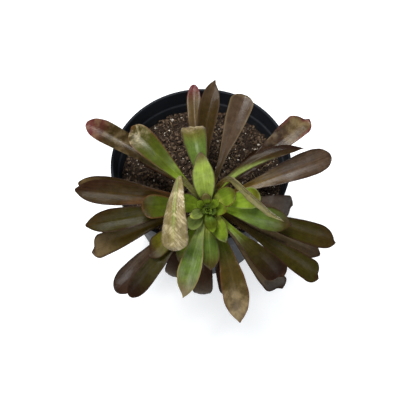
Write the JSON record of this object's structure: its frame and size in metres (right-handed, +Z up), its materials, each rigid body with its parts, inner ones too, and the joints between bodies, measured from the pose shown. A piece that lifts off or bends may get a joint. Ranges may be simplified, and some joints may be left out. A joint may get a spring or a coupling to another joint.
{
  "type": "potted aeonium",
  "caption": "Succulent house plant: a loose rosette of long spoon-shaped leaves on one leaning stem, rooted in peat compost in a round tapered nursery pot.",
  "frame": {"origin": "middle of the pot's flat underside", "axes": "+Z up along the pot's axis, -Y towards the side that the plant leans over, +X to the right seen from that side"},
  "size_m": [0.2049, 0.2101, 0.1753],
  "materials": {
    "black_plastic": "matt black injection-moulded nursery-pot plastic, faint satin on the outside",
    "peat": "dark brown peat compost with pale perlite grains and straw-coloured fibres",
    "stem_bark": "brown woody succulent stem with leaf scars",
    "leaf_green": "satin waxy succulent skin, bright green with darker edges",
    "leaf_bronze": "satin waxy succulent skin, olive to purple-brown with a copper stalk",
    "leaf_gold": "soft wrinkled olive-gold skin of a limp leaf, slightly glossy"
  },
  "bodies": {
    "root": {"pot": "black_plastic", "soil": "peat", "stem": "stem_bark", "leaf_heart_1": "leaf_green", "leaf_heart_2": "leaf_green", "leaf_heart_3": "leaf_green", "leaf_heart_4": "leaf_green", "leaf_heart_5": "leaf_green", "leaf_heart_6": "leaf_green", "leaf_inner_1": "leaf_green", "leaf_inner_2": "leaf_green", "leaf_inner_3": "leaf_green", "leaf_inner_4": "leaf_green", "leaf_inner_5": "leaf_green", "leaf_inner_6": "leaf_green", "leaf_green_1": "leaf_green", "leaf_green_2": "leaf_green", "leaf_green_3": "leaf_green", "leaf_green_4": "leaf_green", "leaf_green_5": "leaf_green", "leaf_green_6": "leaf_green", "leaf_green_7": "leaf_green", "leaf_green_8": "leaf_green", "leaf_green_9": "leaf_green", "leaf_green_10": "leaf_green", "leaf_outer_1": "leaf_bronze", "leaf_outer_2": "leaf_bronze", "leaf_outer_3": "leaf_bronze", "leaf_outer_4": "leaf_bronze", "leaf_outer_5": "leaf_bronze", "leaf_outer_6": "leaf_bronze", "leaf_outer_7": "leaf_bronze", "leaf_outer_8": "leaf_bronze", "leaf_outer_9": "leaf_bronze", "leaf_outer_10": "leaf_bronze", "leaf_outer_11": "leaf_bronze", "leaf_outer_12": "leaf_bronze", "leaf_outer_13": "leaf_bronze", "leaf_outer_14": "leaf_bronze", "leaf_outer_15": "leaf_bronze", "leaf_outer_16": "leaf_bronze", "leaf_outer_17": "leaf_bronze", "leaf_outer_18": "leaf_bronze", "leaf_outer_19": "leaf_bronze", "leaf_outer_20": "leaf_bronze", "leaf_outer_21": "leaf_bronze", "leaf_outer_22": "leaf_bronze", "leaf_outer_23": "leaf_bronze", "leaf_outer_24": "leaf_bronze", "leaf_limp_1": "leaf_gold", "leaf_limp_2": "leaf_gold"}
  },
  "joints": []
}
